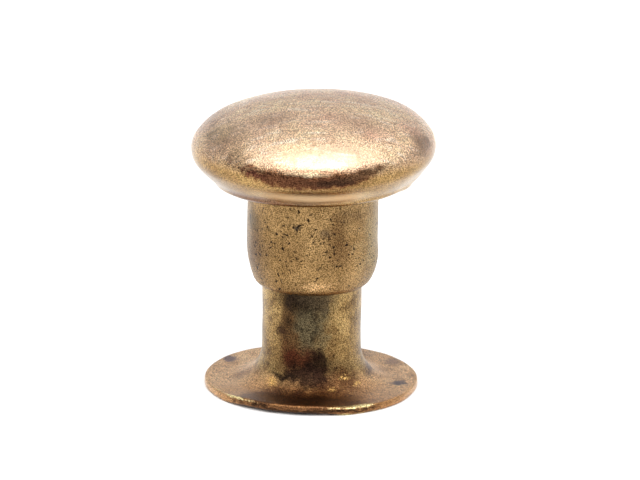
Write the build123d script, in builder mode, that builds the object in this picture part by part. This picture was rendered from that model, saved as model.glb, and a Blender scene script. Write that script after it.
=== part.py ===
"""Single cap rivet: three pieces of drawn brass sheet, snapped together and standing on a flange.

The origin is the centre of the flange's underside and +Z points to the cap. Each piece is drawn
as one line across its sheet, straights and arcs in one run, given its thickness and turned about Z.
"""

from build123d import *
import os
from math import acos, asin, cos, degrees, radians, sin

# Post: comes up through the material from below, with its flange against the back
post_wall = 0.14
flange_radius = 1.98
flare_radius = 0.6  # hollow side of the sweep from the flange up into the shank
neck_radius = 0.92  # where the socket's nose grips
neck_height = 2.0  # from the flange's upper side to the foot of the bead
bead_height = 0.083  # how far the bead stands out from the neck
bead_blend_radius = 1.0
head_length = 2.15  # from the foot of the bead to the closed tip
tip_dome_radius = 1.9
tip_shoulder_radius = 0.4

# Socket tube: snaps over the bead with its closed-in nose, and carries the shell on its dish
socket_wall = 0.14
bead_clearance = 0.07  # between the bead and the inside of the tube
neck_clearance = 0.012  # between the neck and the nose
nose_drop = 0.02  # from the foot of the bead down to the grip of the nose
nose_sweep_radius = 1.7
nose_curl_radius = 0.22
nose_angle = 60.0  # degrees; how far the end of the tube is closed in
barrel_length = 2.04  # from the lower edge of the nose to the underside of the collar
collar_bend_radius = 0.12
dish_bend_radius = 0.24

# Shell: the domed cap, its skirt rolled in under the dish
shell_wall = 0.14
cap_radius = 2.25
dome_radius = 4.52
brow_radius = 1.08  # between dome and shoulder
shoulder_radius = 0.39
shoulder_turn = 34.0  # degrees of shoulder above the widest place
roll_radius = 0.405
roll_turn = 40.5  # degrees of roll below the widest place
skirt_radius = 2.4
lip_radius = 0.19  # where the skirt turns into the hem
hem_width = 0.16
mouth_gap = 0.24  # from the barrel to the free edge of the hem
seat_clearance = 0.015  # between the dish and the skirt and hem that hold it

edge_break = 0.04  # taken off both corners of an edge that fingers or material meet


def free_corners(section, corner, across):
    """The two corners of a sheet's free edge: one drawn, one across the sheet from it."""
    places = (corner, corner + across)
    return [section.vertices().sort_by_distance(place)[0] for place in places]


# ---------------------------------------------------------------- sizes that the fits decide
bead_radius = neck_radius + bead_height
socket_radius = bead_radius + bead_clearance + socket_wall
mouth_radius = socket_radius + mouth_gap
hem_radius = mouth_radius + hem_width  # where the flat hem ends and the lip starts

bead_foot_z = post_wall + neck_height
nose_lean = Vector(sin(radians(nose_angle)), cos(radians(nose_angle)))
nose_across = socket_wall * Vector(-nose_lean.Y, nose_lean.X)
nose_edge_radius = neck_radius + neck_clearance - nose_across.X
nose_z = bead_foot_z - nose_drop - nose_across.Y
collar_z = nose_z + barrel_length
hem_z = collar_z - seat_clearance - shell_wall

# ------------------------------------------------------------------------------------- post
tip_lean = (bead_radius - tip_shoulder_radius) / (tip_dome_radius - tip_shoulder_radius)
tip_sweep = degrees(asin(tip_lean))
bead_turn = degrees(acos(1 - bead_height / (2 * bead_blend_radius)))
bead_blend_height = 2 * bead_blend_radius * sin(radians(bead_turn))

with BuildPart() as post:
    with BuildSketch(Plane.XZ) as post_section:
        with BuildLine():
            tip = JernArc((0, bead_foot_z + head_length), (1, 0), tip_dome_radius, -tip_sweep)
            tip_shoulder = JernArc(tip @ 1, tip % 1, tip_shoulder_radius, tip_sweep - 90)
            head = Line(tip_shoulder @ 1, (bead_radius, bead_foot_z + bead_blend_height))
            bead_foot = JernArc(head @ 1, head % 1, bead_blend_radius, -bead_turn)
            neck = JernArc(bead_foot @ 1, bead_foot % 1, bead_blend_radius, bead_turn)
            shank = Line(neck @ 1, (neck_radius, post_wall + flare_radius))
            flare = JernArc(shank @ 1, shank % 1, flare_radius, 90)
            flange_top = Line(flare @ 1, (flange_radius, post_wall))
            offset(amount=post_wall, side=Side.RIGHT)
        make_face()
        chamfer(free_corners(post_section, flange_top @ 1, Vector(0, -post_wall)), edge_break)
    revolve(axis=Axis.Z)
post.part.label = "post"

# ------------------------------------------------------------------------------ socket tube
nose_curl_in = nose_curl_radius * (1 - cos(radians(nose_angle)))
nose_sweep_in = socket_radius - nose_edge_radius - nose_curl_in
nose_sweep = degrees(acos(1 - nose_sweep_in / (nose_sweep_radius - nose_curl_radius)))

# The skirt starts at the roll's end and is as long as it takes to reach the hem
roll_cos = cos(radians(roll_turn))
roll_sin = sin(radians(roll_turn))
skirt_centre_radius = cap_radius - roll_radius - (skirt_radius - roll_radius) * roll_cos
skirt_end = acos((hem_radius - skirt_centre_radius) / (skirt_radius - lip_radius))
skirt_centre_z = hem_z + lip_radius + (skirt_radius - lip_radius) * sin(skirt_end)
widest_z = skirt_centre_z - (skirt_radius - roll_radius) * roll_sin

# The dish lines the skirt and the hem from inside
dish_radius = skirt_radius - shell_wall - seat_clearance
dish_bend_reach = dish_radius - dish_bend_radius
dish_start = asin((skirt_centre_z - collar_z - dish_bend_radius) / dish_bend_reach)
dish_foot_radius = skirt_centre_radius + dish_bend_reach * cos(dish_start)

with BuildPart() as socket_tube:
    with BuildSketch(Plane.XZ) as socket_section:
        with BuildLine():
            nose_curl = JernArc(
                (nose_edge_radius, nose_z), nose_lean, nose_curl_radius, nose_angle - nose_sweep
            )
            nose = JernArc(nose_curl @ 1, nose_curl % 1, nose_sweep_radius, nose_sweep)
            barrel = Line(nose @ 1, (socket_radius, collar_z - collar_bend_radius))
            collar_bend = JernArc(barrel @ 1, barrel % 1, collar_bend_radius, -90)
            collar = Line(collar_bend @ 1, (dish_foot_radius, collar_z))
            dish_bend = JernArc(
                collar @ 1, collar % 1, dish_bend_radius, 90 - degrees(dish_start)
            )
            JernArc(dish_bend @ 1, dish_bend % 1, dish_radius, degrees(dish_start) - roll_turn)
            offset(amount=socket_wall, side=Side.LEFT)
        make_face()
        chamfer(free_corners(socket_section, nose_curl @ 0, nose_across), edge_break)
    revolve(axis=Axis.Z)
socket_tube.part.label = "socket_tube"

# ------------------------------------------------------------------------------------ shell
brow_centre_radius = (
    cap_radius - shoulder_radius + (shoulder_radius - brow_radius) * cos(radians(shoulder_turn))
)
brow_centre_z = widest_z + (shoulder_radius - brow_radius) * sin(radians(shoulder_turn))
dome_sweep = asin(brow_centre_radius / (dome_radius - brow_radius))
top_z = brow_centre_z + dome_radius - (dome_radius - brow_radius) * cos(dome_sweep)

with BuildPart() as cap_shell:
    with BuildSketch(Plane.XZ):
        with BuildLine():
            dome = JernArc((0, top_z), (1, 0), dome_radius, -degrees(dome_sweep))
            brow = JernArc(
                dome @ 1, dome % 1, brow_radius, degrees(dome_sweep) + shoulder_turn - 90
            )
            shoulder = JernArc(brow @ 1, brow % 1, shoulder_radius, -shoulder_turn)
            roll = JernArc(shoulder @ 1, shoulder % 1, roll_radius, -roll_turn)
            skirt = JernArc(roll @ 1, roll % 1, skirt_radius, roll_turn - degrees(skirt_end))
            lip = JernArc(skirt @ 1, skirt % 1, lip_radius, degrees(skirt_end) - 90)
            Line(lip @ 1, (mouth_radius, hem_z))
            offset(amount=shell_wall, side=Side.RIGHT)
        make_face()
    revolve(axis=Axis.Z)
cap_shell.part.label = "cap_shell"

os.makedirs("parts", exist_ok=True)
export_step(post.part, "parts/post.step")
export_step(socket_tube.part, "parts/socket_tube.step")
export_step(cap_shell.part, "parts/cap_shell.step")
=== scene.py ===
"""Single cap rivet: a domed cap closed over a snap socket, on a hollow post with a flange.

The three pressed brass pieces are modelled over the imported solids, and each replaces its own.
They are modelled in millimetres, one unit each, and shrunk to metres once finished.
"""

import math

import bmesh
import bpy
from mathutils import Matrix, Vector


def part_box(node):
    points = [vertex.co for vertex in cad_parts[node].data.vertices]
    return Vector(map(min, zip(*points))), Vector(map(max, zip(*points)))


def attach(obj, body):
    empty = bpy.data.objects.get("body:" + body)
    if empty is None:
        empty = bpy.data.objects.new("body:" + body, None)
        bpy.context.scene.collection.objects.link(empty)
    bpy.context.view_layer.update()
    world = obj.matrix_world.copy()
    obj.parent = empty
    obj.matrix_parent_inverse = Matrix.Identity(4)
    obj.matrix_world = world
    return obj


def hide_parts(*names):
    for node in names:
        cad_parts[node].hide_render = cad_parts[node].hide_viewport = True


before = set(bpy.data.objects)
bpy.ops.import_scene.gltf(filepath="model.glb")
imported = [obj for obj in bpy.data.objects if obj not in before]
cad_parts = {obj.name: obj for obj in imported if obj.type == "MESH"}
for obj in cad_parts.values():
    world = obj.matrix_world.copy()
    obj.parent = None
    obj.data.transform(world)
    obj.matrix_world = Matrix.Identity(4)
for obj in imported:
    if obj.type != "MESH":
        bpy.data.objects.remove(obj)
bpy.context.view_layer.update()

MM = 0.001

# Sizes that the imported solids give, in mm
cap_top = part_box("cap_shell")[1].z / MM
nose_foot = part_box("socket_tube")[0].z / MM
flange_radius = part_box("post")[1].x / MM

sheet = 0.14  # thickness of the brass sheet that all three are pressed from
neck_radius = 0.92  # of the post's shank, outside
sides = 256  # steps round a turned piece
merged_within = 0.0008  # points as close as this become one
sliver = 0.0004  # edges as short as this are dissolved


# ---------------------------------------------------------------------------- modelling
def deselect():
    if bpy.context.object and bpy.context.object.mode == "EDIT":
        bpy.ops.object.mode_set(mode="OBJECT")
    bpy.ops.object.select_all(action="DESELECT")


def start_section(name, across, up):
    """A small plane merged to one point, which the bends and runs below draw on from."""
    deselect()
    bpy.ops.mesh.primitive_plane_add(size=sheet)
    piece = bpy.context.object
    piece.name = name
    piece.data.name = name
    bpy.ops.object.mode_set(mode="EDIT")
    bpy.ops.mesh.merge(type="CENTER")
    bpy.ops.transform.translate(value=(across, 0, up))
    return piece


def free_end(piece):
    """Where the section's free end is, the one point that each bend or run leaves selected."""
    (end,) = (vert.co.copy() for vert in bmesh.from_edit_mesh(piece.data).verts if vert.select)
    return end


def bend(piece, heading, radius, turn, step=3.0):
    """Draws an arc on from the section's end and returns the heading at its far end.

    Headings are degrees up from +X, and a turn counts anticlockwise.
    """
    end = free_end(piece)
    reach = math.copysign(radius, turn)
    left = math.radians(heading + 90)
    bpy.ops.mesh.spin(
        steps=max(2, math.ceil(abs(turn) / step)),
        angle=math.radians(turn),
        center=(end.x + reach * math.cos(left), 0, end.z + reach * math.sin(left)),
        axis=(0, 1, 0),
    )
    return heading + turn


def run(piece, heading, length, parts=1):
    """Draws a straight on from the section's end, in equal parts."""
    way = Vector((math.cos(math.radians(heading)), 0, math.sin(math.radians(heading))))
    for _ in range(parts):
        bpy.ops.mesh.extrude_region_move(
            TRANSFORM_OT_translate={"value": way * (length / parts)}
        )


def turn_round(piece):
    """Spins the section into the whole round skin and closes its seam and pole."""
    bpy.ops.mesh.select_all(action="SELECT")
    bpy.ops.mesh.spin(steps=sides, angle=math.tau, center=(0, 0, 0), axis=(0, 0, 1))
    bpy.ops.mesh.select_all(action="SELECT")
    bpy.ops.mesh.remove_doubles(threshold=merged_within)
    bpy.ops.mesh.select_all(action="SELECT")
    bpy.ops.mesh.normals_make_consistent(inside=False)
    mesh = bmesh.from_edit_mesh(piece.data)
    outward = sum(face.normal.xy.dot(face.calc_center_median().xy) for face in mesh.faces)
    if outward < 0:
        bpy.ops.mesh.flip_normals()
    bpy.ops.object.mode_set(mode="OBJECT")


def use_modifier(piece, kind, **settings):
    bpy.context.view_layer.objects.active = piece
    modifier = piece.modifiers.new(kind, kind)
    for name, value in settings.items():
        setattr(modifier, name, value)
    bpy.ops.object.modifier_apply(modifier=modifier.name)


def dent(piece, size, depth, seed):
    """Presses a shallow unevenness into the whole skin, as hand-fed dies leave it."""
    clouds = bpy.data.textures.new(f"{piece.name}_unevenness", "CLOUDS")
    clouds.noise_scale = size
    clouds.noise_depth = 1
    handle = bpy.data.objects.new(f"{piece.name}_handle", None)
    bpy.context.scene.collection.objects.link(handle)
    handle.location = seed
    bpy.context.view_layer.update()
    use_modifier(
        piece,
        "DISPLACE",
        texture=clouds,
        texture_coords="OBJECT",
        texture_coords_object=handle,
        strength=depth,
        mid_level=0.5,
    )
    bpy.data.objects.remove(handle)


def thicken(piece, rounding):
    """Gives a skin the sheet's thickness inwards and rounds its cut edge over."""
    use_modifier(piece, "SOLIDIFY", thickness=sheet, offset=-1, use_even_offset=True)
    use_modifier(
        piece,
        "BEVEL",
        width=rounding,
        segments=3,
        limit_method="ANGLE",
        angle_limit=math.radians(60),
    )


def take_where(piece, wanted):
    """Edit mode, with only the vertices that the test wants selected."""
    deselect()
    piece.select_set(True)
    bpy.context.view_layer.objects.active = piece
    bpy.ops.object.mode_set(mode="EDIT")
    bpy.ops.mesh.select_mode(type="VERT")
    mesh = bmesh.from_edit_mesh(piece.data)
    for vert in mesh.verts:
        vert.select = wanted(vert.co)
    mesh.select_flush_mode()
    bmesh.update_edit_mesh(piece.data)


def everywhere(at):
    """The test that takes a whole piece."""
    return True


def knock(piece, wanted, move, spread):
    """Pushes part of a piece, and what lies within the spread of it gives way softly."""
    take_where(piece, wanted)
    bpy.ops.transform.translate(
        value=move, use_proportional_edit=True, proportional_size=spread
    )
    bpy.ops.object.mode_set(mode="OBJECT")


def finish_piece(piece, cad_node, finish):
    """Rids a piece of slivers, shrinks it to metres, and gives it its finish and its node."""
    take_where(piece, everywhere)
    bpy.ops.mesh.remove_doubles(threshold=merged_within)
    bpy.ops.mesh.dissolve_degenerate(threshold=sliver)
    deselect()
    piece.select_set(True)
    bpy.context.view_layer.objects.active = piece
    piece.scale = (MM, MM, MM)
    bpy.ops.object.transform_apply(location=True, rotation=True, scale=True)
    bpy.ops.object.shade_smooth_by_angle(angle=math.radians(60))
    piece.data.materials.clear()
    piece.data.materials.append(finish)
    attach(piece, "root")
    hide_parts(cad_node)


# ---------------------------------------------------------------------------- the pieces
def make_cap():
    """Domed cap: a dome that sweeps over its rim into a skirt, rolled in to a hem."""
    mouth_radius = 1.453  # of the hem's free edge
    tilt = 1.0  # degrees, down to the left
    cap = start_section("domed_cap", 0, cap_top)
    way = 0.0
    for radius, far_heading, step in (
        (4.52, -22.0, 1.0),  # dome
        (1.08, -56.0, 2.5),  # brow
        (0.39, -90.0, 3.0),  # shoulder, which ends at the widest place
        (0.405, -130.5, 3.0),  # roll
        (2.4, -139.1, 2.0),  # skirt
        (0.35, -122.1, 4.0),  # shallow groove above the hem
        (0.17, -180.0, 5.0),  # the hem's rounded lip
    ):
        way = bend(cap, way, radius, far_heading - way, step)
    run(cap, way, free_end(cap).x - mouth_radius, parts=3)
    turn_round(cap)
    dent(cap, size=1.3, depth=0.022, seed=(3.1, 1.7, 0.4))
    thicken(cap, rounding=0.035)
    take_where(cap, everywhere)
    bpy.ops.transform.rotate(
        value=math.radians(tilt), orient_axis="Y", center_override=(0, 0, 4.3)
    )
    bpy.ops.object.mode_set(mode="OBJECT")
    # On its right the shoulder stands higher and the hem a little lower
    knock(
        cap,
        lambda at: at.x > 1.2 and abs(at.y) < 0.6 and at.z > 4.95,
        move=(0.015, 0, 0.035),
        spread=1.7,
    )
    knock(
        cap,
        lambda at: at.x > 1.3 and abs(at.y) < 0.5 and at.z < 4.1,
        move=(0.02, 0, -0.03),
        spread=0.4,
    )
    return cap


def make_socket():
    """Snap socket: closed-in nose, barrel, and the collar and dish that the cap grips."""
    nose_edge_radius = 1.002  # at the outer corner of the nose's edge
    nose_edge_drop = 0.021  # of that corner, below the solid, whose corner is broken
    nose_lean = 60.0  # degrees that the nose's edge leans in from upright
    nose_sweep = 21.3  # degrees of them in the wide sweep, with the rest in the tight curl
    barrel_top = 3.965  # where the bend out into the collar begins
    dish_rise = 42.0  # degrees
    tube = start_section("snap_socket", nose_edge_radius, nose_foot - nose_edge_drop)
    way = bend(tube, 90 - nose_lean, radius=0.22, turn=nose_lean - nose_sweep, step=5.0)
    way = bend(tube, way, radius=1.7, turn=nose_sweep, step=2.0)
    run(tube, way, barrel_top - free_end(tube).z, parts=24)
    # Collar
    way = bend(tube, way, radius=0.12, turn=-90, step=9.0)
    run(tube, way, length=0.175, parts=2)
    # Dish
    way = bend(tube, way, radius=0.24, turn=dish_rise, step=8.0)
    run(tube, way, length=0.42, parts=3)
    turn_round(tube)
    dent(tube, size=0.8, depth=0.02, seed=(0.2, 5.3, 1.9))
    thicken(tube, rounding=0.03)
    # The nose is closed in a little less on its right
    knock(
        tube,
        lambda at: at.x > 1.05 and abs(at.y) < 0.3 and 2.3 < at.z < 2.45,
        move=(0.03, 0, 0),
        spread=0.4,
    )
    return tube


def make_post():
    """Hollow post: flange, flare, shank, the bead that snaps into the nose, and its tip."""
    flare_radius = 0.6
    bead_foot = 2.14  # where the shank ends
    bead_turn = 16.6  # degrees each way through the bead's blends
    head_top = 3.75  # where the straight head ends and the closed tip begins
    tip_dome_turn = 23.7
    post = start_section("hollow_post", flange_radius, sheet)
    # Flange, flare and shank
    way = 180.0
    run(post, way, flange_radius - neck_radius - flare_radius, parts=5)
    way = bend(post, way, flare_radius, turn=-90, step=2.5)
    run(post, way, bead_foot - free_end(post).z, parts=26)
    # Bead and head
    way = bend(post, way, radius=1.0, turn=-bead_turn)
    way = bend(post, way, radius=1.0, turn=bead_turn)
    run(post, way, head_top - free_end(post).z, parts=10)
    # Tip, whose last point goes on to the axis, so that it closes
    way = bend(post, way, radius=0.4, turn=90 - tip_dome_turn, step=4.0)
    bend(post, way, radius=1.9, turn=tip_dome_turn, step=2.0)
    bpy.ops.transform.resize(value=(0, 1, 1), center_override=(0, 0, 0))
    turn_round(post)
    dent(post, size=0.7, depth=0.022, seed=(7.7, 0.6, 3.3))
    thicken(post, rounding=0.035)
    # The flange's rim, lifted at its front left and drawn out at its front right
    rim = 0.95 * flange_radius
    knock(
        post,
        lambda at: at.xy.length > rim and -1.1 < at.x < 0.1 and at.y < 0,
        move=(0, 0, 0.05),
        spread=0.7,
    )
    knock(
        post,
        lambda at: at.xy.length > rim and 0.7 < at.x < 1.5 and at.y < 0,
        move=(0.015, -0.045, 0),
        spread=0.7,
    )
    # It still stands on the floor, by the lowest point of its uneven underside
    lowest = min(vert.co.z for vert in post.data.vertices)
    take_where(post, everywhere)
    bpy.ops.transform.translate(value=(0, 0, -lowest))
    bpy.ops.object.mode_set(mode="OBJECT")
    return post


# ---------------------------------------------------------------------------- finishes
def colour(code):
    """An sRGB hex colour as linear RGBA."""
    parts = [int(code[i : i + 2], 16) / 255 for i in (1, 3, 5)]
    return (*(c / 12.92 if c <= 0.04045 else ((c + 0.055) / 1.055) ** 2.4 for c in parts), 1)


def add(tree, kind, inputs=(), **settings):
    """Adds a node, links or fills its inputs, and sets its properties or inputs by name."""
    made = tree.nodes.new(kind)
    for name, value in settings.items():
        if hasattr(made, name):
            setattr(made, name, value)
        else:
            made.inputs[name.replace("_", " ")].default_value = value
    for socket, source in dict(inputs).items():
        if isinstance(source, bpy.types.NodeSocket):
            tree.links.new(source, made.inputs[socket])
        else:
            made.inputs[socket].default_value = source
    return made


def new_finish(name):
    """A blank finish, and the place on its piece in millimetres, which its patterns read."""
    made = bpy.data.materials.new(name)
    made.use_nodes = True
    tree = made.node_tree
    tree.nodes.clear()
    where = add(tree, "ShaderNodeTexCoord").outputs["Object"]
    place = add(tree, "ShaderNodeVectorMath", {0: where}, operation="SCALE", Scale=1 / MM)
    return made, tree, place.outputs[0]


def ragged(tree, place, size, reach):
    """The place shifted by cloudy noise, so that stains keyed to it get uneven edges."""
    noise = add(
        tree, "ShaderNodeTexNoise", {"Vector": place}, Scale=1 / size, Detail=4.0, Roughness=0.65
    )
    centred = add(
        tree,
        "ShaderNodeVectorMath",
        {0: noise.outputs["Color"], 1: (0.5, 0.5, 0.5)},
        operation="SUBTRACT",
    )
    shift = add(
        tree, "ShaderNodeVectorMath", {0: centred.outputs[0]}, operation="SCALE", Scale=2 * reach
    )
    return add(tree, "ShaderNodeVectorMath", {0: place, 1: shift.outputs[0]}).outputs[0]


def stain(tree, place, centre, size, strength, soft, speckle=0.5):
    """How much of a stain there is: full at its centre, none beyond its size each way.

    A speckle, where there is one, pulls the stain in where it is low and lets it out where high.
    """
    off = add(tree, "ShaderNodeVectorMath", {0: place, 1: centre}, operation="SUBTRACT")
    away = add(tree, "ShaderNodeVectorMath", {0: off.outputs[0], 1: size}, operation="DIVIDE")
    far = add(tree, "ShaderNodeVectorMath", {0: away.outputs[0]}, operation="LENGTH")
    broken = add(tree, "ShaderNodeMath", {0: speckle, 1: -2.0, 2: 1.0}, operation="MULTIPLY_ADD")
    edge = add(
        tree,
        "ShaderNodeMath",
        {0: far.outputs["Value"], 1: broken.outputs[0]},
        operation="ADD",
    )
    return add(
        tree,
        "ShaderNodeMapRange",
        {"Value": edge.outputs[0]},
        interpolation_type="SMOOTHSTEP",
        From_Min=1.0,
        From_Max=1.0 - soft,
        To_Max=strength,
    ).outputs["Result"]


def shade_over(tree, below, amount, tint):
    """Lays a colour over what is below by an amount."""
    return add(
        tree, "ShaderNodeMix", {0: amount, 6: below, 7: tint}, data_type="RGBA"
    ).outputs[2]


def tones(tree, value, stops):
    """A ramp from a value to colours or greys at given places."""
    ramp = add(tree, "ShaderNodeValToRGB", {"Fac": value})
    bar = ramp.color_ramp
    while len(bar.elements) < len(stops):
        bar.elements.new(1.0)
    for element, (position, _) in zip(bar.elements, stops):
        element.position = position
    for element, (_, tone) in zip(bar.elements, stops):
        element.color = tone if isinstance(tone, tuple) else (tone, tone, tone, 1)
    return ramp.outputs["Color"]


def sanded(tree, place, tone, least, most):
    """Darkens and lightens a colour between two factors, in grains of about 0.02 mm."""
    grain = add(tree, "ShaderNodeTexNoise", {"Vector": place}, Scale=1 / 0.017, Detail=0.0)
    factor = add(
        tree,
        "ShaderNodeMapRange",
        {"Value": grain.outputs["Fac"], "To Min": least, "To Max": most},
        From_Min=0.33,
        From_Max=0.67,
    )
    return add(
        tree,
        "ShaderNodeVectorMath",
        {0: tone, "Scale": factor.outputs["Result"]},
        operation="SCALE",
    ).outputs[0]


def make_cap_finish():
    """Antiqued brass, pressed, tumbled in grit and waxed.

    The grit leaves a fine sandy sparkle on the dome; the roll, which the setting tool
    burnishes, is smoother and more golden, with dark wax left in a band round its front.
    The roll's gold is darkened as painted shade, and the wax band is also a painted
    reflection of the dark room in front.
    """
    made, tree, place = new_finish("tumbled_antique_brass")
    uneven = ragged(tree, place, size=0.25, reach=0.06)
    axes = add(tree, "ShaderNodeSeparateXYZ", {0: uneven}).outputs
    cloud, mottle, grit = (
        add(
            tree,
            "ShaderNodeTexNoise",
            {"Vector": place},
            Scale=1 / size,
            Detail=detail,
            Roughness=rough,
        ).outputs["Fac"]
        for size, detail, rough in ((0.9, 5.0, 0.62), (0.2, 6.0, 0.75), (0.024, 1.0, 0.5))
    )
    tone = tones(
        tree,
        cloud,
        [(0.32, colour("#CCA48A")), (0.48, colour("#DBB899")), (0.66, colour("#EBCBA3"))],
    )
    # Pale streaks, from the buff, nearly along X
    buffed = add(
        tree,
        "ShaderNodeMapping",
        {"Vector": place},
        Scale=(0.22, 1.0, 1.0),
        Rotation=(0.0, 0.0, -0.25),
    )
    streaks = add(
        tree, "ShaderNodeTexNoise", {"Vector": buffed.outputs[0]}, Scale=1 / 0.12, Detail=4.0
    )
    pale = tones(tree, streaks.outputs["Fac"], [(0.52, 0.0), (0.66, 0.5)])
    tone = shade_over(tree, tone, pale, colour("#F0D9C4"))
    # Burnished gold on the roll, darkened as painted shade for the dim surroundings that it
    # reflects
    low = add(
        tree,
        "ShaderNodeMapRange",
        {"Value": axes["Z"]},
        interpolation_type="SMOOTHSTEP",
        From_Min=4.86,
        From_Max=4.5,
    ).outputs["Result"]
    gold_with_painted_shade = tones(tree, cloud, [(0.35, colour("#8C6C41")), (0.6, colour("#AE8D5A"))])
    tone = shade_over(tree, tone, low, gold_with_painted_shade)
    dull = tones(tree, mottle, [(0.38, 0.3), (0.5, 0.0)])
    tone = shade_over(tree, tone, dull, colour("#8E6A4C"))
    # Duller patches on the dome's left and right
    for centre, size, strength in (
        ((-1.5, -0.95, 4.95), (0.95, 1.0, 0.38), 0.65),
        ((1.92, -0.8, 4.84), (0.5, 0.65, 0.34), 0.75),
        ((-1.4, -1.75, 4.8), (0.45, 0.6, 0.2), 0.6),
        ((-1.75, 0.3, 4.95), (0.7, 1.1, 0.4), 0.4),
        ((-0.7, -0.9, 5.3), (0.9, 0.5, 0.2), 0.4),
        ((1.2, 1.0, 5.2), (1.0, 1.0, 0.5), 0.25),
        ((0.85, -1.1, 5.3), (0.65, 0.5, 0.3), 0.3),
    ):
        patch = stain(tree, uneven, centre, size, strength, 0.9, mottle)
        tone = shade_over(tree, tone, patch, colour("#64492F"))
    # Dark wax along the roll's front, which is also a painted reflection of the dark room in front:
    # red-brown where thin, nearly black where thick, with a pale painted highlight in the middle
    # of its upper edge. It climbs towards both sides like a smile.
    squared = add(tree, "ShaderNodeMath", {0: axes["X"], 1: axes["X"]}, operation="MULTIPLY")
    climb = add(
        tree,
        "ShaderNodeVectorMath",
        {0: (0.0, 0.0, 0.07), "Scale": squared.outputs[0]},
        operation="SCALE",
    )
    smile = add(
        tree, "ShaderNodeVectorMath", {0: uneven, 1: climb.outputs[0]}, operation="SUBTRACT"
    ).outputs[0]
    for centre, size, strength, soft, tint in (
        ((-0.12, -2.2, 4.53), (1.6, 1.3, 0.21), 0.85, 0.5, "#8A5838"),
        ((-0.1, -2.2, 4.51), (1.5, 1.2, 0.17), 0.94, 0.5, "#563726"),
        ((0.45, -2.2, 4.5), (0.8, 0.9, 0.12), 0.85, 0.8, "#34241A"),
        ((-1.15, -2.0, 4.53), (0.4, 0.4, 0.13), 0.75, 0.9, "#5A3229"),
        ((0.95, -2.05, 4.58), (0.6, 0.5, 0.12), 0.85, 0.8, "#5E442F"),
        # Painted highlight: the lamp's highlight carried down into the band's upper edge
        ((-0.1, -2.2, 4.67), (0.55, 0.5, 0.07), 0.85, 0.9, "#EBCFA8"),
    ):
        wax_and_painted_reflection = stain(tree, smile, centre, size, strength, soft, mottle)
        tone = shade_over(tree, tone, wax_and_painted_reflection, colour(tint))
    # Painted shade, brown, under the hem, where it turns in towards the socket
    painted_shade_under_hem = stain(
        tree, uneven, (-0.95, -1.6, 3.98), (1.3, 1.2, 0.14), strength=0.75, soft=0.6, speckle=mottle
    )
    tone = shade_over(tree, tone, painted_shade_under_hem, colour("#77523F"))
    # Grit, less of it on the brow's front, where the grain is evened and lightened a little as a
    # painted highlight
    smooth_and_painted_highlight = stain(tree, uneven, (0.15, -2.05, 4.92), (1.8, 1.1, 0.3), strength=1.0, soft=0.8)
    least, most = (
        add(tree, "ShaderNodeMapRange", {"Value": smooth_and_painted_highlight}, To_Min=gritty, To_Max=evened).outputs[0]
        for gritty, evened in ((0.28, 0.85), (1.5, 1.15))
    )
    tone = sanded(tree, place, tone, least, most)
    # A painted highlight along the hem's front, laid on as brass rubbed bright, and the hem scuffed
    # a little rougher there
    nearly_even = ragged(tree, place, size=0.4, reach=0.02)
    wear_and_painted_highlight = stain(
        tree, nearly_even, (0.05, -2.0, 4.13), (1.7, 0.8, 0.19), strength=1.0, soft=0.9
    )
    tone = shade_over(tree, tone, wear_and_painted_highlight, colour("#FFE3B8"))
    polish = add(tree, "ShaderNodeMapRange", {"Value": low}, To_Min=0.24, To_Max=0.2)
    roughness = add(
        tree,
        "ShaderNodeMath",
        {0: wear_and_painted_highlight, 1: 0.25, 2: polish.outputs["Result"]},
        operation="MULTIPLY_ADD",
    )
    # The grit's relief, which fades on the roll and on the smooth brow
    evened = add(tree, "ShaderNodeMath", {0: low, 1: smooth_and_painted_highlight}, operation="MAXIMUM")
    depth = add(
        tree, "ShaderNodeMapRange", {"Value": evened.outputs[0]}, To_Min=1.0, To_Max=0.2
    )
    bump = add(
        tree,
        "ShaderNodeBump",
        {"Height": grit, "Strength": depth.outputs["Result"]},
        Distance=0.016 * MM,
    )
    shader = add(
        tree,
        "ShaderNodeBsdfPrincipled",
        {
            "Base Color": tone,
            "Roughness": roughness.outputs[0],
            "Normal": bump.outputs["Normal"],
        },
        Metallic=1.0,
    )
    add(tree, "ShaderNodeOutputMaterial", {"Surface": shader.outputs["BSDF"]})
    return made


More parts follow.
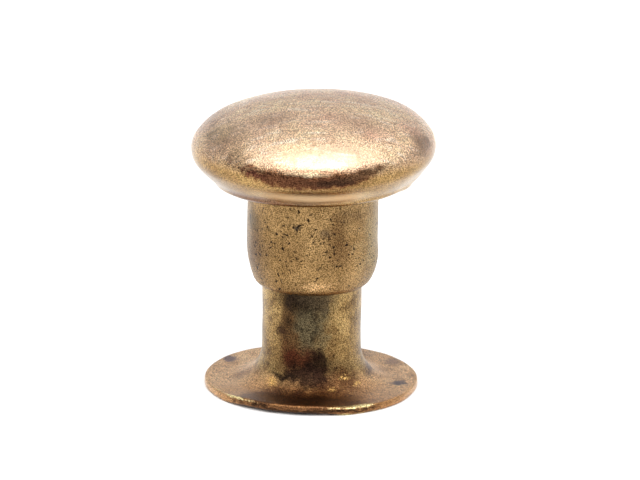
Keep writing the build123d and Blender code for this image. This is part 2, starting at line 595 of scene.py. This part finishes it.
def make_socket_finish():
    """Antiqued brass as drawn: matt, with black pits where the bright dip has eaten it."""
    made, tree, place = new_finish("dipped_antique_brass")
    uneven = ragged(tree, place, size=0.3, reach=0.16)
    cloud, mottle, grit = (
        add(
            tree,
            "ShaderNodeTexNoise",
            {"Vector": place},
            Scale=1 / size,
            Detail=detail,
            Roughness=rough,
        ).outputs["Fac"]
        for size, detail, rough in ((0.7, 5.0, 0.65), (0.3, 8.0, 0.8), (0.026, 1.0, 0.6))
    )
    tone = tones(
        tree, cloud, [(0.3, colour("#886A42")), (0.5, colour("#997A50")), (0.7, colour("#A6865A"))]
    )
    dark = tones(tree, mottle, [(0.38, 0.5), (0.5, 0.0)])
    tone = shade_over(tree, tone, dark, colour("#69502F"))
    pale = tones(tree, mottle, [(0.54, 0.0), (0.66, 0.4)])
    tone = shade_over(tree, tone, pale, colour("#B59262"))
    # Brown and greenish stains
    for centre, size, strength, tint in (
        ((-1.05, -0.55, 2.75), (0.5, 0.9, 0.75), 0.75, "#57402F"),
        ((-1.1, -0.5, 3.3), (0.25, 0.6, 0.35), 0.6, "#504430"),
        ((-0.4, -1.1, 2.8), (0.45, 0.6, 0.5), 0.35, "#64482A"),
        ((0.25, -1.2, 3.25), (0.22, 0.4, 0.14), 0.6, "#463B31"),
        ((0.48, -1.1, 3.35), (0.25, 0.5, 0.6), 0.6, "#553A21"),
        ((-0.28, -1.2, 3.32), (0.12, 0.3, 0.07), 0.95, "#3B3129"),
        ((0.75, -0.95, 3.55), (0.4, 0.5, 0.3), 0.5, "#5E4833"),
        ((0.5, -1.1, 2.9), (0.4, 0.5, 0.6), 0.6, "#5F4227"),
        ((1.18, -0.5, 3.0), (0.5, 0.8, 1.5), 0.45, "#8B8160"),
        ((-1.2, -0.2, 3.2), (0.12, 0.6, 1.2), 0.5, "#948068"),
    ):
        patch = stain(tree, uneven, centre, size, strength, 0.9, mottle)
        tone = shade_over(tree, tone, patch, colour(tint))
    # A painted highlight on the nose's rolled lip, at its front
    wear_and_painted_highlight = stain(
        tree, uneven, (0.05, -1.1, 2.2), (0.4, 0.3, 0.13), strength=0.7, soft=0.9, speckle=grit
    )
    tone = shade_over(tree, tone, wear_and_painted_highlight, colour("#E0B782"))
    # Black pits in loose clusters
    pits = add(tree, "ShaderNodeTexVoronoi", {"Vector": uneven}, Scale=1 / 0.11)
    clusters = add(tree, "ShaderNodeTexNoise", {"Vector": place}, Scale=1 / 0.3, Detail=3.0)
    black = add(
        tree,
        "ShaderNodeMath",
        {
            0: tones(tree, pits.outputs["Distance"], [(0.18, 1.0), (0.26, 0.0)]),
            1: tones(tree, clusters.outputs["Fac"], [(0.39, 0.0), (0.48, 0.95)]),
        },
        operation="MULTIPLY",
    ).outputs[0]
    tone = shade_over(tree, tone, black, colour("#20160F"))
    tone = sanded(tree, place, tone, least=0.3, most=1.55)
    relief = add(tree, "ShaderNodeMath", {0: grit, 1: black}, operation="SUBTRACT")
    bump = add(
        tree, "ShaderNodeBump", {"Height": relief.outputs[0]}, Strength=0.8, Distance=0.01 * MM
    )
    shader = add(
        tree,
        "ShaderNodeBsdfPrincipled",
        {"Base Color": tone, "Normal": bump.outputs["Normal"]},
        Metallic=1.0,
        Roughness=0.38,
    )
    add(tree, "ShaderNodeOutputMaterial", {"Surface": shader.outputs["BSDF"]})
    return made


def make_post_finish():
    """Antiqued brass, tarnished: grey-green and near black on the shank, deepened by painted shade
    and a painted dark reflection, copper on the flange.
    """
    made, tree, place = new_finish("tarnished_antique_brass")
    uneven = ragged(tree, place, size=0.35, reach=0.2)
    cloud, mottle, grit = (
        add(
            tree,
            "ShaderNodeTexNoise",
            {"Vector": place},
            Scale=1 / size,
            Detail=detail,
            Roughness=rough,
        ).outputs["Fac"]
        for size, detail, rough in ((0.6, 5.0, 0.65), (0.3, 8.0, 0.8), (0.026, 1.0, 0.6))
    )
    tone = tones(
        tree, cloud, [(0.3, colour("#80653C")), (0.5, colour("#9C7F51")), (0.7, colour("#B59763"))]
    )
    dark = tones(tree, mottle, [(0.38, 0.8), (0.52, 0.0)])
    tone = shade_over(tree, tone, dark, colour("#5A4128"))
    # Copper, where the plating is thin, on the flange
    height = add(tree, "ShaderNodeSeparateXYZ", {0: uneven}).outputs["Z"]
    flange = add(
        tree,
        "ShaderNodeMapRange",
        {"Value": height},
        interpolation_type="SMOOTHSTEP",
        From_Min=0.5,
        From_Max=0.2,
    ).outputs["Result"]
    copper = tones(
        tree,
        mottle,
        [(0.36, colour("#A27A52")), (0.48, colour("#C69C70")), (0.62, colour("#DDB88A"))],
    )
    tone = shade_over(tree, tone, flange, copper)
    for centre, size, strength, tint in (
        # Shank, from grey-green to brown: tarnish, deepened under the socket's nose and down its
        # front as painted shade and a painted reflection of the dark room
        ((-0.05, -0.95, 1.4), (0.55, 0.8, 1.0), 0.9, "#4E4736"),
        ((-0.42, -0.85, 1.2), (0.22, 0.6, 1.2), 0.85, "#553B24"),
        ((-0.32, -0.9, 1.92), (0.5, 0.6, 0.4), 0.97, "#2A2018"),
        ((0.12, -0.9, 1.9), (0.45, 0.6, 0.3), 0.85, "#463A2B"),
        ((-0.5, -0.8, 1.25), (0.14, 0.4, 0.16), 0.9, "#39271A"),
        ((-0.25, -0.95, 0.72), (0.55, 0.8, 0.42), 0.92, "#4A2519"),
        ((0.15, -1.0, 0.66), (0.5, 0.7, 0.32), 0.95, "#241812"),
        # Front of the flare and of the flange, in the tarnish that fingers can't rub off
        ((0.0, -1.7, 0.1), (2.9, 1.7, 0.5), 0.8, "#A2703F"),
        ((0.6, -0.95, 0.36), (0.65, 0.6, 0.34), 0.85, "#5A3820"),
        ((-0.1, -0.95, 0.42), (0.95, 0.5, 0.36), 0.97, "#241711"),
        ((-0.15, -1.65, 0.08), (1.9, 1.05, 0.3), 0.9, "#6B4830"),
        ((-0.45, -0.85, 0.42), (0.4, 0.4, 0.06), 0.9, "#1C130E"),
        ((-0.9, -1.4, 0.15), (0.75, 0.6, 0.3), 0.75, "#5E402B"),
        ((-0.1, -1.95, 0.08), (2.4, 0.9, 0.05), 0.8, "#2E2017"),
        # Back
        ((0.1, 0.95, 0.9), (0.6, 0.5, 0.5), 0.6, "#4E4736"),
        ((-0.6, 0.75, 1.7), (0.5, 0.4, 0.3), 0.7, "#3A2A1E"),
        ((0.7, 1.3, 0.2), (0.8, 0.6, 0.3), 0.6, "#6B4A2E"),
        # Spots on the flange's sides
        ((-1.52, 0.92, 0.14), (0.22, 0.3, 0.2), 0.9, "#584048"),
        ((-1.25, -0.1, 0.16), (0.35, 0.3, 0.2), 0.5, "#7A5A4A"),
        ((1.64, -0.41, 0.14), (0.24, 0.2, 0.2), 0.97, "#41333B"),
        ((1.5, 0.9, 0.14), (0.25, 0.3, 0.2), 0.7, "#6A4C44"),
        ((1.05, -0.1, 0.3), (0.2, 0.4, 0.16), 0.8, "#4A3430"),
    ):
        patch = stain(tree, uneven, centre, size, strength, 0.7, mottle)
        tone = shade_over(tree, tone, patch, colour(tint))
    # Black tarnish, broken up, down the front of the shank
    blackened = stain(
        tree, uneven, (-0.15, -0.95, 1.55), (0.55, 0.6, 0.75), strength=1.0, soft=0.6
    )
    broken = tones(tree, mottle, [(0.42, 0.85), (0.5, 0.0)])
    black = add(tree, "ShaderNodeMath", {0: blackened, 1: broken}, operation="MULTIPLY")
    tone = shade_over(tree, tone, black.outputs[0], colour("#1E1711"))
    # Painted glints of bare gold on the flare's front: painted highlights
    for centre, size in (
        ((0.6, -0.84, 0.39), (0.16, 0.16, 0.05)),
        ((0.86, -0.8, 0.24), (0.1, 0.12, 0.05)),
        ((0.4, -1.14, 0.23), (0.07, 0.1, 0.05)),
        ((-0.72, -0.85, 0.29), (0.18, 0.18, 0.09)),
    ):
        painted_glint = stain(tree, uneven, centre, size, 0.9, 0.9, grit)
        tone = shade_over(tree, tone, painted_glint, colour("#DDB06A"))
    # Brighter gold in flakes on the flange's rim, rubbed by the tray, which along its front are
    # painted highlights as well
    flakes = add(
        tree, "ShaderNodeTexNoise", {"Vector": place}, Scale=1 / 0.08, Detail=2.0
    ).outputs["Fac"]
    flat = add(tree, "ShaderNodeVectorMath", {0: place, 1: (1, 1, 0)}, operation="MULTIPLY")
    outward = add(tree, "ShaderNodeVectorMath", {0: flat.outputs[0]}, operation="LENGTH")
    near_rim = add(
        tree,
        "ShaderNodeMapRange",
        {"Value": outward.outputs["Value"]},
        From_Min=flange_radius - 0.1,
        From_Max=flange_radius,
    )
    rim = tones(tree, near_rim.outputs["Result"], [(0.3, 0.0), (0.5, 1.0)])
    for centre, size in (
        ((0.9, -1.85, 0.155), (0.65, 0.4, 0.05)),
        ((-1.5, -1.2, 0.165), (0.7, 0.9, 0.03)),
        ((-0.1, -2.0, 0.01), (2.3, 0.9, 0.03)),
    ):
        patch = stain(tree, place, centre, size, 0.9, 0.8, flakes)
        wear_and_painted_highlight = add(tree, "ShaderNodeMath", {0: patch, 1: rim}, operation="MULTIPLY")
        tone = shade_over(tree, tone, wear_and_painted_highlight.outputs[0], colour("#FFE3A4"))
    tone = sanded(tree, place, tone, least=0.3, most=1.55)
    bump = add(tree, "ShaderNodeBump", {"Height": grit}, Strength=0.8, Distance=0.012 * MM)
    shader = add(
        tree,
        "ShaderNodeBsdfPrincipled",
        {"Base Color": tone, "Normal": bump.outputs["Normal"]},
        Metallic=1.0,
        Roughness=0.32,
    )
    add(tree, "ShaderNodeOutputMaterial", {"Surface": shader.outputs["BSDF"]})
    return made


cap_finish = make_cap_finish()
socket_finish = make_socket_finish()
post_finish = make_post_finish()

cap = make_cap()
finish_piece(cap, "cap_shell", cap_finish)
tube = make_socket()
finish_piece(tube, "socket_tube", socket_finish)
post = make_post()
finish_piece(post, "post", post_finish)

# ---------------------------------------------------------------------------- the studio
floor_finish, tree, _ = new_finish("white_card")
paper = add(tree, "ShaderNodeBsdfDiffuse", Color=colour("#F6F6F6"))
add(tree, "ShaderNodeOutputMaterial", {"Surface": paper.outputs["BSDF"]})
deselect()
bpy.ops.mesh.primitive_plane_add(size=2.0)
floor = bpy.context.object
floor.name = "floor"
floor.data.materials.append(floor_finish)

full = 4.0  # strength of the light where a ramp is white, since its stops go up to 1


def by_elevation(stops):
    """Ramp stops from brightnesses at elevations in degrees."""
    return [((math.sin(math.radians(up)) + 1) / 2, bright / full) for up, bright in stops]


# A light tent, open and dark towards the front at eye level
world = bpy.data.worlds.new("light_tent")
bpy.context.scene.world = world
world.use_nodes = True
tree = world.node_tree
tree.nodes.clear()
way = add(tree, "ShaderNodeTexCoord").outputs["Generated"]
along = add(tree, "ShaderNodeSeparateXYZ", {0: way}).outputs
rise = add(tree, "ShaderNodeMapRange", {"Value": along["Z"]}, From_Min=-1.0).outputs["Result"]
front = add(
    tree,
    "ShaderNodeMapRange",
    {"Value": along["Y"]},
    interpolation_type="SMOOTHSTEP",
    From_Min=0.1,
    From_Max=-0.3,
).outputs["Result"]
cloth = [(-30, 0.8), (0, 0.9), (30, 0.9), (48, 0.9), (68, 1.35), (90, 1.6)]
tent = tones(tree, rise, by_elevation(cloth))
dark_room = [(-30, 0.15), (6, 0.1), (16, 0.5)]
lamps_above = [(26, 1.7), (36, 2.2), (56, 2.1), (74, 1.8), (90, 1.5)]
opening = tones(tree, rise, by_elevation(dark_room + lamps_above))
light = shade_over(tree, tent, front, opening)
# A lamp in the opening above the camera, and a wide one high on the right
for direction, edge, core, bright in (
    ((0.04, -0.7, 0.71), 0.8, 0.96, 1.6),
    ((0.42, 0.2, 0.88), 0.8, 0.97, 0.4),
):
    towards = add(
        tree, "ShaderNodeVectorMath", {0: way, 1: direction}, operation="DOT_PRODUCT"
    )
    lamp = add(
        tree,
        "ShaderNodeMapRange",
        {"Value": towards.outputs["Value"]},
        interpolation_type="SMOOTHSTEP",
        From_Min=edge,
        From_Max=core,
        To_Max=bright / full,
    )
    light = add(
        tree,
        "ShaderNodeMix",
        {0: 1.0, 6: light, 7: lamp.outputs["Result"]},
        data_type="RGBA",
        blend_type="ADD",
    ).outputs[2]
glow = add(tree, "ShaderNodeBackground", {"Color": light}, Strength=full)
add(tree, "ShaderNodeOutputWorld", {"Surface": glow.outputs["Background"]})

# The camera, low in front of the rivet and looking down on it a little
pitch = math.radians(16.55)
roll = math.radians(0.64)
distance = 100 * MM
ahead = Vector((0, math.cos(pitch), -math.sin(pitch)))
upward = Vector((0, math.sin(pitch), math.cos(pitch)))
middle = Vector((0.139, 0, 2.5)) * MM  # of the rivet, a little to its right
aim = middle + upward * 0.270 * MM
lens = bpy.data.cameras.new("camera")
lens.sensor_width = 36
lens.lens = 303.75
lens.clip_start = 0.001
lens.clip_end = 10
camera = bpy.data.objects.new("camera", lens)
bpy.context.scene.collection.objects.link(camera)
camera.location = aim - ahead * distance
camera.rotation_mode = "QUATERNION"
camera.rotation_quaternion = (
    Matrix.Rotation(roll, 3, -ahead) @ ahead.to_track_quat("-Z", "Y").to_matrix()
).to_quaternion()
bpy.context.scene.camera = camera
bpy.context.scene.view_settings.view_transform = "Standard"
